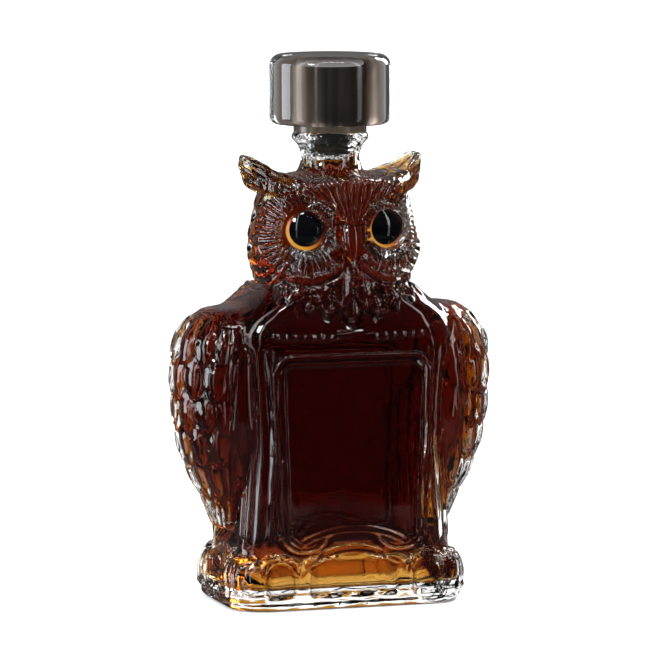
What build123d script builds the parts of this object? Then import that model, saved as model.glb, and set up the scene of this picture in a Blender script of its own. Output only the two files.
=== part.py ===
"""Owl-shaped glass liquor decanter: a moulded clear flask filled with dark liquor, set glass eyes,
and a lift-off stopper with a metal core inside a thick clear head.

Millimetres. +Z is up and the origin is the middle of the foot, on the surface it stands on. The owl
faces -Y, and +X is on the right of someone who looks at its face.
"""
from build123d import *
import math
import os

# Running and seating clearances
seat_gap = 0.1
liquor_gap = 0.15
seal_gap = 0.15
overrun = 1.0

# Foot: a flared, scalloped plinth
foot_width = 112.0
foot_depth = 72.0
foot_corner = 17.0
foot_height = 30.0
foot_floor = 9.0
foot_wall = 5.6
foot_hollow_top = 17.0
punt_depth = 2.0
punt_margin = 18.0
punt_corner = 9.0
kick_width = 92.0
kick_depth = 53.0
kick_corner = 12.0
kick_height = 27.0
kick_draft = 9.0
slab_height = 9.0
front_arch_width = 48.0
front_arch_height = 28.5
side_arch_width = 20.5
side_arch_height = 25.5
end_arch_width = 30.0
end_arch_height = 26.0
corner_arch_height = 24.0
arch_rise = 7.0
window_margin = 3.2
window_depth = 1.4

# Trunk: a rounded slab that draws in below the wings and closes over the shoulders
trunk_width = 99.5
trunk_depth = 66.0
trunk_corner = 15.0
shoulder_low = 119.0
shoulder_top = 142.0
trunk_wall = 4.6

# Head: a rounded block with a domed top
head_width = 73.0
head_depth = 56.0
head_corner = 23.0
head_bottom = 138.0
head_top = 197.0
head_wall = 4.8
head_forward = 3.0
face_wall = 11.2

# Wings: folded against the sides
wing_root = 47.0
wing_reach = 26.2
wing_depth = 55.0
wing_bottom = 34.0
wing_top = 133.0
wing_wall = 4.4

# Wing scales, laid in staggered rows
scale_pitch = 15.2
scale_height = 20.5
scale_relief = 1.5
scale_root = 2.2
scale_top_row = 118.5
scale_rows = 5
scale_columns = 7
scale_angle = 23.0
primary_row = 42.8
primary_height = 16.0
primary_count = 5
primary_angle = 26.0

# Label panel: a raised bead frame on the front and on the back
panel_top_width = 74.5
panel_bottom_width = 68.0
panel_bottom = 25.0
panel_top = 114.0
panel_corner = 9.0
panel_bead = 2.4
panel_relief = 1.3

# Face
eye_spread = 18.4
eye_height = 168.3
eye_plane = 21.6
eye_splay = 12.0
eye_radius = 8.8
pupil_radius = 6.9
iris_thickness = 0.8
eye_edge = 0.8
eye_dome = 3.2
dish_radius = 17.5
dish_depth = 4.6
socket_reach = 15.0
eye_ring_width = 1.4
eye_ring_relief = 1.2
beak_length = 22.0
beak_radius = 5.2
beak_root = 27.5
beak_top = 172.0
beak_tip_reach = 35.3
brow_low = 171.5
brow_reach = 34.0
ear_tip = 200.5
ear_spread = 43.2
ear_rear = 16.0
ear_hollow_spread = 18.5
ear_hollow_low = 178.3
ear_hollow_radius = 5.8
ear_hollow_tip_spread = 40.0
ear_hollow_tip = 195.4
ear_hollow_tip_radius = 1.9

# Bib: two layers of leaf-shaped feathers under the chin
bib_feather_length = 25.0
bib_feather_width = 9.0
bib_feather_thickness = 4.5
bib_low = 125.8
bib_reach = 35.4
bib_lean = 13.0
bib_layer_rise = 7.0
bib_layer_setback = 0.8
bib_spread = 31.0

# Neck and rim
rim_height = 210.5
rim_radius = 16.4
lip_radius = 17.6
lip_height = 2.6
lip_drop = 6.0
lip_low_radius = 14.9
bead_radius = 14.2
bead_drop = 7.3
bead_height = 1.6
neck_radius = 13.2
neck_seat = 13.0
bore_radius = 9.5
fill_height = 194.5

# Stopper
cap_radius = 27.1
cap_height = 31.3
cap_top_round = 4.8
cap_bottom_round = 3.6
core_radius = 16.6
core_height = 26.0
flange_radius = 16.4
flange_height = 3.2
plug_radius = 8.8
plug_length = 11.0
plug_tip_chamfer = 1.0
spigot_radius = 5.0
spigot_length = 10.0
seal_width = 1.8
seal_groove = 0.7
seal_pitch = 3.1
seal_count = 3

# Heights, widths, depths and corner radii along the trunk, as shares of the trunk's own sizes
trunk_shares = (
    (0.000, 0.985, 1.00, 1.00),
    (0.250, 0.985, 1.00, 1.00),
    (0.580, 0.935, 1.00, 1.00),
    (1.000, 1.000, 1.00, 1.00),
)
shoulder_shares = (
    (0.000, 1.000, 1.00, 1.00),
    (0.400, 0.980, 0.99, 1.15),
    (0.720, 0.870, 0.95, 1.35),
    (1.000, 0.735, 0.87, 1.50),
)
head_shares = (
    (0.000, 0.985, 0.95, 0.95),
    (0.200, 0.965, 0.99, 1.00),
    (0.420, 1.000, 1.00, 1.00),
    (0.640, 0.930, 0.98, 1.00),
    (0.820, 0.840, 0.90, 0.95),
    (0.930, 0.620, 0.70, 0.70),
    (1.000, 0.370, 0.48, 0.50),
)
foot_shares = (
    (0.000, 0.945, 0.93, 1.00),
    (0.120, 0.985, 0.99, 1.00),
    (0.300, 1.000, 1.00, 1.00),
    (0.480, 1.000, 0.99, 1.00),
    (0.720, 0.945, 0.96, 0.95),
    (1.000, 0.888, 0.92, 0.90),
)
# Height, reach and depth of the wing's oval sections
wing_shares = (
    (0.000, 0.27, 0.44),
    (0.111, 0.43, 0.64),
    (0.242, 0.67, 0.82),
    (0.384, 0.865, 0.945),
    (0.545, 0.957, 1.00),
    (0.687, 0.985, 1.00),
    (0.808, 0.960, 0.965),
    (0.909, 0.840, 0.860),
    (0.970, 0.660, 0.690),
    (1.000, 0.440, 0.480),
)
# Brow and ear outline seen from the front: spread and height, from the beak's root round the tip
brow_low_shares = (
    (0.0, 0.0), (0.115, 0.06), (0.213, 0.245), (0.378, 0.36), (0.578, 0.44), (0.74, 0.44),
    (0.86, 0.524), (0.946, 0.697), (0.995, 0.85),
)
brow_high_shares = (
    (0.985, 0.93), (0.93, 1.0), (0.84, 0.945), (0.71, 0.815), (0.595, 0.735), (0.50, 0.72),
    (0.37, 0.74), (0.0, 0.76),
)
# Brow and ear outline seen from above: spread and reach, front edge and then the rear edge
brow_front_shares = ((0.0, 1.0), (0.30, 0.96), (0.55, 0.78), (0.78, 0.46), (0.93, 0.22), (1.0, 0.0))
brow_rear_shares = ((0.985, 0.22), (0.85, 0.50), (0.62, 0.86), (0.30, 1.0), (0.0, 1.0))
# Bib feather tips from the middle outwards: spread and rise
bib_lower_shares = ((0.0, 0.0), (0.38, 0.30), (0.68, 0.52), (0.94, 0.78))
bib_upper_shares = ((0.19, 0.05), (0.52, 0.30), (0.82, 0.55))
scale_top_share = 0.6
scale_side_share = 0.53
scale_fill_share = 0.95
beak_wide_share = 0.34
bib_root_share = 0.62


def rounded_loft(shares, width, depth, corner, bottom, top, inset=0, shift=0):
    """Smooth body through rounded rectangles, drawn in all round by the inset."""
    sections = []
    for height_share, width_share, depth_share, corner_share in shares:
        outline = RectangleRounded(
            width * width_share - 2 * inset,
            depth * depth_share - 2 * inset,
            corner * corner_share - inset,
        )
        sections.append(Pos(0, shift, bottom + (top - bottom) * height_share) * outline)
    return loft(sections)


def block(width, depth, low, high):
    """Plain block on the axis, used to trim at a level."""
    return Pos(0, 0, (low + high) / 2) * Box(width, depth, high - low)


def make_trunk(inset):
    """The trunk, or its hollow when an inset is given."""
    size = trunk_width, trunk_depth, trunk_corner
    side = rounded_loft(trunk_shares, *size, 0, shoulder_low, inset)
    return side + rounded_loft(shoulder_shares, *size, shoulder_low, shoulder_top, inset)


def make_head(inset=0):
    """The head, or its hollow when an inset is given."""
    extra = face_wall - head_wall if inset else 0
    size = head_width, head_depth - extra, head_corner
    return rounded_loft(head_shares, *size, head_bottom, head_top - inset, inset, extra / 2 - head_forward)


def make_wing(inset):
    """The wing on +X as a stack of ovals, or its hollow when an inset is given."""
    sections = []
    for height_share, reach_share, depth_share in wing_shares:
        height = wing_bottom + inset + (wing_top - wing_bottom - 2 * inset) * height_share
        oval = Ellipse(wing_reach * reach_share - inset, wing_depth / 2 * depth_share - inset)
        sections.append(Pos(wing_root, 0, height) * oval)
    return loft(sections)


def both_sides(part):
    """A part and its mirror image across the middle plane."""
    return part + mirror(part, about=Plane.YZ)


def wing_size(height):
    """Reach and half depth of the wing's oval at a height."""
    share = (height - wing_bottom) / (wing_top - wing_bottom)
    for low, high in zip(wing_shares, wing_shares[1:]):
        if share <= high[0]:
            part = (share - low[0]) / (high[0] - low[0])
            reach = low[1] + (high[1] - low[1]) * part
            depth = low[2] + (high[2] - low[2]) * part
            return wing_reach * reach, wing_depth / 2 * depth
    return wing_reach * wing_shares[-1][1], wing_depth / 2 * wing_shares[-1][2]


def wing_point(height, angle):
    """Point on the wing's skin at a height and an angle from straight out."""
    reach, depth = wing_size(height)
    turn = math.radians(angle)
    return Vector(wing_root + reach * math.cos(turn), depth * math.sin(turn), height)


def scale_gem(height, angle, step, length):
    """One moulded scale: a long hexagon that stands out of the wing's skin with bevelled sides."""
    centre = wing_point(height, angle)
    up = wing_point(height + scale_relief, angle) - wing_point(height - scale_relief, angle)
    left, right = wing_point(height, angle - step / 2), wing_point(height, angle + step / 2)
    across = right - left
    skin = Plane(centre, x_dir=across, z_dir=across.cross(up))
    half_width = across.length / 2 * scale_fill_share
    half_length = length / 2 * scale_fill_share
    side = half_length * scale_side_share
    outline = Polygon(
        (0, half_length), (half_width, side), (half_width, -side),
        (0, -half_length), (-half_width, -side), (-half_width, side),
        align=None,
    )
    buried = skin.offset(-scale_root) * outline
    proud = skin.offset(scale_relief) * scale(outline, scale_top_share)
    return loft([buried, proud], ruled=True)


def make_scales():
    """All scales of the +X wing, row by row, and the long feathers below them."""
    gems = []
    for row in range(scale_rows):
        count = scale_columns - row % 2
        for column in range(count):
            angle = (column - (count - 1) / 2) * scale_angle
            gems.append(scale_gem(scale_top_row - row * scale_pitch, angle, scale_angle, scale_height))
    for column in range(primary_count):
        angle = (column - (primary_count - 1) / 2) * primary_angle
        gems.append(scale_gem(primary_row, angle, primary_angle, primary_height))
    return gems


def arch(width, height, rise, margin=0):
    """Flat arch outline on the ground line, or its window when a margin is given."""
    half = width / 2 - margin
    spring = height - rise - margin
    foot = slab_height - margin if margin else 0
    sides = Polyline((-half, spring), (-half, foot), (half, foot), (half, spring))
    crown = ThreePointArc((half, spring), (0, height - margin), (-half, spring))
    return make_face(sides + crown)


def front_arches():
    """Place, width and height of each arch on the front and back of the foot."""
    side_place = (front_arch_width + side_arch_width) / 2
    return (
        (-side_place, side_arch_width, side_arch_height),
        (0, front_arch_width, front_arch_height),
        (side_place, side_arch_width, side_arch_height),
    )


def end_arches():
    """Place, width and height of each arch on the two ends of the foot, corner lobes included."""
    corner_width = (foot_depth - end_arch_width) / 2 + overrun
    corner_place = (end_arch_width + corner_width) / 2
    return (
        (-corner_place, corner_width, corner_arch_height),
        (0, end_arch_width, end_arch_height),
        (corner_place, corner_width, corner_arch_height),
    )


def make_foot():
    """Flared plinth whose upper edge is cut to arches all round, on a plain slab."""
    flare = rounded_loft(foot_shares, foot_width, foot_depth, foot_corner, 0, foot_height)
    front = front_arch_width / 2 + side_arch_width
    ends = foot_width / 2 + overrun - front
    arches = block(foot_width, foot_depth, 0, slab_height)
    for place, width, height in front_arches():
        body = extrude(Plane.XZ * arch(width, height, arch_rise), foot_depth + 2 * overrun)
        arches += Pos(place, foot_depth / 2 + overrun, 0) * body
    for place, width, height in end_arches():
        body = extrude(Plane.YZ * arch(width, height, arch_rise), ends)
        arches += Pos(front, place, 0) * body
        arches += Pos(-front - ends, place, 0) * body
    return flare & arches


def make_windows():
    """Arch-shaped recesses in the four sides of the foot."""
    depth = window_depth + overrun
    cuts = []
    for place, width, height in front_arches():
        body = extrude(Plane.XZ * arch(width, height, arch_rise, window_margin), depth)
        cuts.append(Pos(place, -foot_depth / 2 + window_depth, 0) * body)
        cuts.append(Pos(place, foot_depth / 2 + overrun, 0) * body)
    body = extrude(Plane.YZ * arch(end_arch_width, end_arch_height, arch_rise, window_margin), depth)
    cuts.append(Pos(foot_width / 2 - window_depth, 0, 0) * body)
    cuts.append(Pos(-foot_width / 2 - overrun, 0, 0) * body)
    return cuts


def make_panel():
    """Bead frame of the label panel on the front and on the back."""
    def outline(inset):
        points = (
            (-panel_bottom_width / 2 + inset, panel_bottom + inset),
            (panel_bottom_width / 2 - inset, panel_bottom + inset),
            (panel_top_width / 2 - inset, panel_top - inset),
            (-panel_top_width / 2 + inset, panel_top - inset),
        )
        corners = Polygon(*points, align=None)
        return fillet(corners.vertices(), panel_corner - inset)
    ring = Plane.XZ * (outline(0) - outline(panel_bead))
    reach = trunk_depth / 2 + panel_relief
    bead = extrude(ring, 2 * panel_relief)
    return [Pos(0, -reach + 2 * panel_relief, 0) * bead, Pos(0, reach, 0) * bead]


def make_brow():
    """Brow that sweeps from the beak up into the two ears, cut from its front and plan outlines."""
    rise = ear_tip - brow_low

    def front_point(shares, side):
        return side * shares[0] * ear_spread, brow_low + shares[1] * rise

    def half_front(side):
        low = [front_point(shares, side) for shares in brow_low_shares]
        high = [front_point(shares, side) for shares in brow_high_shares]
        edge = Spline(*low) + Line(low[-1], high[0]) + Spline(*high) + Line(high[-1], low[0])
        return make_face(edge)

    front_view = Plane.XZ * (half_front(1) + half_front(-1))
    ahead = [(s * ear_spread, -r * brow_reach) for s, r in brow_front_shares]
    behind = [(s * ear_spread, r * ear_rear) for s, r in brow_rear_shares]
    edge = Spline(*ahead) + Line(ahead[-1], behind[0]) + Spline(*behind) + Line(behind[-1], ahead[0])
    half_plan = make_face(edge)
    plan = both_sides(extrude(Pos(0, 0, brow_low) * half_plan, rise))
    slab = Pos(0, ear_rear + overrun, 0) * extrude(front_view, brow_reach + ear_rear + 2 * overrun)
    return slab & plan


def eye_plane_at(side, back=0):
    """Plane of an eye's floor, looking out of the face and a little to the side."""
    turn = math.radians(eye_splay)
    out = Vector(side * math.sin(turn), -math.cos(turn), 0)
    return Plane(Vector(side * eye_spread, -eye_plane, eye_height) - out * back, x_dir=(0, 0, 1), z_dir=out)


def make_dish(side):
    """Hollow of the facial disc and the socket of the eye, to be cut from the head."""
    floor = eye_plane_at(side)
    socket = floor * extrude(Circle(eye_radius + seat_gap), socket_reach)
    cone = floor.offset(eye_edge + iris_thickness) * loft(
        [Circle(eye_radius + eye_ring_width), Pos(0, 0, dish_depth) * Circle(dish_radius)], ruled=True
    )
    return socket, cone


def make_eye_ring(side):
    """Raised ring that holds the eye."""
    ring = Circle(eye_radius + eye_ring_width) - Circle(eye_radius + seat_gap)
    return eye_plane_at(side) * extrude(ring, eye_edge + iris_thickness + eye_ring_relief)


def make_beak():
    """Hooked beak: a drop-shaped turning that leans out towards its tip."""
    wide = beak_length * beak_wide_share
    slim = beak_radius * (1 - beak_wide_share)
    points = (0, 0), (beak_radius, -wide), (slim, wide - beak_length), (0, -beak_length)
    side = Spline(*points, tangents=((1, 0), (-beak_wide_share, -1)))
    drop = revolve(Plane.XZ * make_face(side + Line((0, -beak_length), (0, 0))), Axis.Z)
    lean = math.degrees(math.asin((beak_tip_reach - beak_root) / beak_length))
    return Pos(0, -beak_root, beak_top) * Rot(-lean, 0, 0) * drop


def bib_feather(spread, tip_height, setback):
    """One leaf-shaped feather that hangs with its tip forward."""
    half, length = bib_feather_width / 2, bib_feather_length
    leaf = make_face(
        ThreePointArc((0, 0), (half, length / 2), (0, length))
        + ThreePointArc((0, length), (-half, length / 2), (0, 0))
    )
    reach = bib_reach - setback - abs(spread) * abs(spread) / bib_spread * (1 - bib_root_share) / 2
    fan = math.degrees(math.atan2(spread * (1 - bib_root_share), length))
    place = Pos(spread, -reach, tip_height) * Rot(-bib_lean, 0, 0)
    solid = extrude(Plane.XZ * leaf, -bib_feather_thickness)
    return place * Rot(0, -fan, 0) * solid


def make_bib():
    """Both layers of bib feathers."""
    feathers = []
    for shares, rise, setback in (
        (bib_lower_shares, 0, bib_layer_setback),
        (bib_upper_shares, bib_layer_rise, 0),
    ):
        for spread_share, rise_share in shares:
            height = bib_low + rise + rise_share * (head_bottom - bib_low)
            for side in (-1, 1) if spread_share else (1,):
                feathers.append(bib_feather(side * spread_share * bib_spread, height, setback))
    return feathers


def make_neck():
    """Turned neck with its bead and the flared lip under the rim."""
    bead = rim_height - bead_drop
    lip = rim_height - lip_height
    low = rim_height - lip_drop
    profile = Polyline(
        (0, head_top - neck_seat),
        (neck_radius, head_top - neck_seat),
        (neck_radius, bead - bead_height),
        (bead_radius, bead - bead_height / 2),
        (bead_radius, bead + bead_height / 2),
        (neck_radius, low),
        (lip_low_radius, low + seat_gap),
        (lip_radius, lip),
        (rim_radius, rim_height),
        (0, rim_height),
        (0, head_top - neck_seat),
    )
    return revolve(Plane.XZ * make_face(profile), Axis.Z)


def make_ear_hollow(gap):
    """Tapered hollow of the ear on +X."""
    root = Vector(ear_hollow_spread, 0, ear_hollow_low)
    tip = Vector(ear_hollow_tip_spread, 0, ear_hollow_tip)
    axis = tip - root
    low = Plane(root, x_dir=(0, 1, 0), z_dir=axis) * Circle(ear_hollow_radius - gap)
    high = Plane(tip, x_dir=(0, 1, 0), z_dir=axis) * Circle(ear_hollow_tip_radius - gap)
    return loft([low, high])


def make_kick(gap):
    """Raised glass in the middle of the foot, which leaves a thin channel of liquor round it."""
    low = RectangleRounded(kick_width + 2 * gap, kick_depth + 2 * gap, kick_corner)
    high = RectangleRounded(
        kick_width - 2 * kick_draft + 2 * gap, kick_depth - 2 * kick_draft + 2 * gap, kick_corner
    )
    return loft([Pos(0, 0, foot_floor) * low, Pos(0, 0, kick_height + gap) * high])


def make_hollow(gap):
    """The space inside the glass, drawn in by a gap for the liquor."""
    foot = rounded_loft(
        foot_shares, foot_width, foot_depth, foot_corner, 0, foot_height, foot_wall + gap
    ) & block(foot_width, foot_depth, 0, foot_hollow_top - gap)
    low = make_trunk(trunk_wall + gap) + foot
    low -= block(foot_width, foot_depth, -overrun, foot_floor + gap)
    low -= make_kick(gap)
    wings = both_sides(make_wing(wing_wall + gap))
    ears = both_sides(make_ear_hollow(gap))
    return low + make_head(head_wall + gap) + wings + ears


def make_bore():
    """Bore of the neck, from the hollow to the rim."""
    low = head_top - neck_seat
    return Pos(0, 0, low) * extrude(Circle(bore_radius), rim_height - low + overrun)


def make_bottle():
    """The one-piece moulded flask."""
    glass = make_trunk(0) + make_head() + both_sides(make_wing(0)) + make_foot()
    glass += make_brow()
    glass += make_neck()
    glass += make_bib()
    dishes = [make_dish(side) for side in (-1, 1)]
    glass -= [cone for socket, cone in dishes]
    glass += [make_eye_ring(side) for side in (-1, 1)]
    glass += make_beak()
    glass -= [socket for socket, cone in dishes]
    glass += make_panel()
    glass -= make_windows()
    scales = make_scales()
    glass += scales + [mirror(gem, about=Plane.YZ) for gem in scales]
    glass -= make_hollow(0)
    glass -= make_bore()
    punt = RectangleRounded(foot_width - 2 * punt_margin, foot_depth - 2 * punt_margin, punt_corner)
    glass -= extrude(punt, punt_depth)
    return glass


def make_liquor():
    """The liquor, up into the bore of the neck."""
    low = head_top - neck_seat + liquor_gap
    inside = make_hollow(liquor_gap)
    inside += Pos(0, 0, low) * extrude(Circle(bore_radius - liquor_gap), rim_height - low)
    return inside - block(foot_width, foot_depth, fill_height, rim_height + overrun)


def make_eye(side):
    """Pupil, iris and clear dome of one eye, seated on each other in the socket."""
    floor = eye_plane_at(side)
    pupil = floor * extrude(Circle(pupil_radius), iris_thickness)
    iris = floor * extrude(Circle(eye_radius) - Circle(pupil_radius + seat_gap), iris_thickness)
    edge = Line((0, 0), (eye_radius, 0)) + Line((eye_radius, 0), (eye_radius, eye_edge))
    bend = (eye_radius**2 + eye_dome**2) / (2 * eye_dome)
    crown = RadiusArc((eye_radius, eye_edge), (0, eye_edge + eye_dome), -bend)
    back = Line((0, eye_edge + eye_dome), (0, 0))
    dome = revolve(Plane.XZ * make_face(edge + crown + back), Axis.Z)
    return pupil, iris, floor.offset(iris_thickness) * dome


def make_stopper_head():
    """Thick clear head with rounded edges and a blind bore for the core."""
    low = rim_height + flange_height
    body = Pos(0, 0, low) * extrude(Circle(cap_radius), cap_height)
    body = fillet(body.edges().group_by(Axis.Z)[-1], cap_top_round)
    body = fillet(body.edges().group_by(Axis.Z)[0], cap_bottom_round)
    return body - Pos(0, 0, low) * extrude(Circle(core_radius + seat_gap), core_height + seat_gap)


def make_stopper_core():
    """Metal core with a socket for the plug's spigot."""
    low = rim_height + flange_height
    body = Pos(0, 0, low) * extrude(Circle(core_radius), core_height)
    return body - Pos(0, 0, low) * extrude(Circle(spigot_radius + seat_gap), spigot_length + seat_gap)


def seal_heights():
    """Lower edges of the seal rings, from the top one down."""
    first = rim_height - seal_pitch
    return [first - index * seal_pitch for index in range(seal_count)]


def make_stopper_plug():
    """Plug with its flange on the rim, ring grooves and the spigot that holds the head."""
    plug = Pos(0, 0, rim_height - plug_length) * extrude(Circle(plug_radius), plug_length)
    plug = chamfer(plug.edges().group_by(Axis.Z)[0], plug_tip_chamfer)
    plug += Pos(0, 0, rim_height) * extrude(Circle(flange_radius), flange_height)
    plug += Pos(0, 0, rim_height + flange_height) * extrude(Circle(spigot_radius), spigot_length)
    groove = Circle(plug_radius + overrun) - Circle(plug_radius - seal_groove)
    for height in seal_heights():
        plug -= Pos(0, 0, height - seat_gap) * extrude(groove, seal_width + 2 * seat_gap)
    return plug


def make_seal_rings():
    """Soft rings that close the plug against the bore."""
    ring = Circle(bore_radius - seal_gap) - Circle(plug_radius - seal_groove + seat_gap)
    return Compound(children=[Pos(0, 0, height) * extrude(ring, seal_width) for height in seal_heights()])


def write(node, part):
    """One STEP file for each node."""
    export_step(part, f"parts/{node}.step")


os.makedirs("parts", exist_ok=True)
write("bottle", make_bottle())
write("liquor", make_liquor())
for name, side in (("left", -1), ("right", 1)):
    pupil, iris, dome = make_eye(side)
    write(f"eye_pupil_{name}", pupil)
    write(f"eye_iris_{name}", iris)
    write(f"eye_dome_{name}", dome)
write("stopper_head", make_stopper_head())
write("stopper_core", make_stopper_core())
write("stopper_plug", make_stopper_plug())
write("seal_rings", make_seal_rings())
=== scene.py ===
"""Dresses the owl decanter: moulded glass skin, dark liquor, set eyes and a clear stopper.

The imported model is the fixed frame. Metres, +Z up, the owl faces -Y.
"""
import math

import bpy
import numpy as np
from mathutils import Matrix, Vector
from mathutils.bvhtree import BVHTree


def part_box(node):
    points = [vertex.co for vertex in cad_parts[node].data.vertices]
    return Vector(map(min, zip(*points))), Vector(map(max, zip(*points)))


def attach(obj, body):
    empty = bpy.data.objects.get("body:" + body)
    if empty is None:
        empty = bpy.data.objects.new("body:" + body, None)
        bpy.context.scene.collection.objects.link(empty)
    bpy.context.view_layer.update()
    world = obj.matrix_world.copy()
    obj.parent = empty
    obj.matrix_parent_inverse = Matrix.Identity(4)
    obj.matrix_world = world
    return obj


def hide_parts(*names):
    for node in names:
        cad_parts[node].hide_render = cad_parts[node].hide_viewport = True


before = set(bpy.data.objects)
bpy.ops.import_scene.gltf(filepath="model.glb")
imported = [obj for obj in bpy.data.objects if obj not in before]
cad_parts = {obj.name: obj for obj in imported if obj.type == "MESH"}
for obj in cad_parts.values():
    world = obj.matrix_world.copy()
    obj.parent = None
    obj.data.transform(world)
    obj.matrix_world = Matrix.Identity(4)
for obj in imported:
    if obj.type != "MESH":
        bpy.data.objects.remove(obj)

bl_info = {
    "name": "Owl decanter",
    "version": (1, 0, 0),
    "blender": (4, 5, 0),
    "location": "3D View > Sidebar > Decanter",
    "description": "Builds the looks of an owl-shaped glass decanter round its packed frame",
    "category": "Object",
}

# Heights and sizes of the moulded forms in millimetres, as the glass was designed
WING_ROOT, WING_REACH, WING_DEPTH = 47.0, 26.2, 27.5
WING_LOW, WING_HIGH = 34.0, 133.0
WING_STEPS = (0.0, 0.111, 0.242, 0.384, 0.545, 0.687, 0.808, 0.909, 0.970, 1.0)
WING_REACHES = (0.27, 0.43, 0.67, 0.865, 0.957, 0.985, 0.96, 0.84, 0.66, 0.44)
WING_DEPTHS = (0.44, 0.64, 0.82, 0.945, 1.0, 1.0, 0.965, 0.86, 0.69, 0.48)
TRUNK_FACE = 33.0
EYE_SPREAD, EYE_FLOOR, EYE_HEIGHT, EYE_SPLAY = 18.4, 21.6, 168.3, math.radians(12)
EYE_RING = 12.0
BROW_SPREADS = (0.0, 5.0, 9.2, 16.3, 25.0, 32.0, 37.2, 40.9, 43.2)
BROW_HEIGHTS = (171.5, 173.2, 178.6, 181.9, 184.3, 184.3, 186.7, 191.7, 196.2)
BIB_TIPS = ((5.9, 133.4), (16.1, 136.5), (25.4, 139.5),
            (0.0, 125.8), (11.8, 129.5), (21.1, 132.1), (29.1, 135.3))
SCALE_TOP_ROW, SCALE_ROWS, SCALE_PITCH, SCALE_STEP = 118.5, 6, 15.2, 23.0
NAPE_TOP_ROW, NAPE_ROWS, NAPE_PITCH = 187, 6, 6.6
NECK_BORE, NECK_FOOT = 11.5, 178
FRAME_CORNER = 9
FOOT_ARCHES = ((0.0, 48.0, 28.5), (34.25, 20.5, 25.5))

# Millimetres of glass round the hollow of the ears, and how far the liquor or a dome laps into its neighbour
EAR_WALL, SKIN_LAP = 1.2, 0.15

# Shares by which the glass under the liquor is drawn in, across and from front to back
KICK_DRAW = (0.07, 0.15)

# In metres, how far from the skin the liquor is looked for, how near it touches, and the reach inside an ear
WALL_REACH, WALL_TOUCH, EAR_REACH = 0.0025, 0.0006, 0.014

# Rounds of smoothing
CELL_ROUNDS, HEAD_ROUNDS, CROWN_ROUNDS, NOOK_ROUNDS = 3, 14, 160, 30
INNER_ROUNDS, EAR_ROUNDS, LIQUOR_ROUNDS = 12, 3, 6

# Share of the triangles that the inner wall keeps, as the liquor hides it
INNER_SHARE = 0.03

# Hollowing, per millimetre, at which the painted shade in a groove starts, and how much more makes the
# painted shade darkest
GROOVE_SHADE_START, GROOVE_SHADE_RANGE = 0.03, 0.17

# Indices of refraction. The liquor's is taken against the glass that it wets
GLASS_INDEX, LIQUOR_INDEX = 1.5, 0.91

# Radius of an iris in metres, and the way from its painted shade to its painted highlight
IRIS_RADIUS, IRIS_PAINTED_LIGHT_WAY = 0.0088, (-0.62, 0.0, -0.78)

# Stopper head: sides of its round and steps of its edges, radii of its top and bottom edge, and its lap into
# the metal core, in metres
STOPPER_SIDES, STOPPER_STEPS, STOPPER_EDGES, CORE_LAP = 160, 10, (0.0050, 0.0036), 0.00005

# Sharpest bend that is shaded smooth on the stopper and the eye domes
CREASE = math.radians(40)

# Studio: brightness that the camera sees, brightness of the unlit parts in glass, the back wall's brightness
# as seen through glass and as mirrored in it, and the bearing past which nothing but the back wall is lit
WHITE_LEVEL, DARK_STUDIO, BACK_WALL, BACK_DEGREES = 1.5, 0.0024, (0.046, 0.010), 160

# Bands of light round the studio: side of the camera's axis, first and last degree, width of the soft edge,
# and brightness as seen through glass and as mirrored in it
STUDIO_WALLS = ((-1, 58, 65, 4, DARK_STUDIO, 0.24), (-1, 25, 28, 2, DARK_STUDIO, 0.20),
                (1, 56, 61, 4, DARK_STUDIO, 0.24),
                (-1, 130, 170, 8, *BACK_WALL), (1, 130, 170, 8, *BACK_WALL))


def say(text):
    print("DECANTER", text, flush=True)


# Selecting, copying and finishing meshes

def take(obj):
    """Makes obj the only selected object and the active one."""
    if bpy.context.mode != "OBJECT":
        bpy.ops.object.mode_set(mode="OBJECT")
    bpy.ops.object.select_all(action="DESELECT")
    obj.select_set(True)
    bpy.context.view_layer.objects.active = obj
    return obj


def select_none(kind):
    """Leaves nothing of the active mesh selected, ready to select its edges or faces."""
    bpy.ops.object.mode_set(mode="EDIT")
    bpy.ops.mesh.select_mode(type=kind)
    bpy.ops.mesh.select_all(action="DESELECT")
    bpy.ops.object.mode_set(mode="OBJECT")


def copy_of_node(node, name):
    """A merged copy of a CAD node, free to be shaped."""
    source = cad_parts[node]
    mesh = source.data.copy()
    mesh.materials.clear()
    obj = bpy.data.objects.new(name, mesh)
    bpy.context.scene.collection.objects.link(obj)
    take(obj)
    bpy.ops.object.mode_set(mode="EDIT")
    bpy.ops.mesh.select_all(action="SELECT")
    bpy.ops.mesh.remove_doubles(threshold=1e-6)
    bpy.ops.object.mode_set(mode="OBJECT")
    return obj


def points_of(obj):
    co = np.empty(len(obj.data.vertices) * 3)
    obj.data.vertices.foreach_get("co", co)
    return co.reshape(-1, 3) * 1000


def set_points(obj, points):
    obj.data.vertices.foreach_set("co", (points / 1000).ravel())
    obj.data.update()


def normals_of(obj):
    no = np.empty(len(obj.data.vertices) * 3)
    obj.data.vertex_normals.foreach_get("vector", no)
    return no.reshape(-1, 3)


def edge_ends(obj):
    """The two points of each edge, and how many edges meet at each point."""
    mesh = obj.data
    edges = np.empty(len(mesh.edges) * 2, dtype=np.int64)
    mesh.edges.foreach_get("vertices", edges)
    return edges[0::2], edges[1::2], np.bincount(edges, minlength=len(mesh.vertices))


def relax(obj, rounds, mask=None):
    """Evens out a mesh by moving each point towards its neighbours."""
    a, b, count = edge_ends(obj)
    points = points_of(obj)
    for _ in range(rounds):
        total = np.zeros_like(points)
        for axis in range(3):
            total[:, axis] = (np.bincount(a, points[b, axis], len(points))
                              + np.bincount(b, points[a, axis], len(points)))
        step = 0.5 * (total / np.maximum(count, 1)[:, None] - points)
        points = points + (step if mask is None else step * mask[:, None])
    set_points(obj, points)


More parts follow.
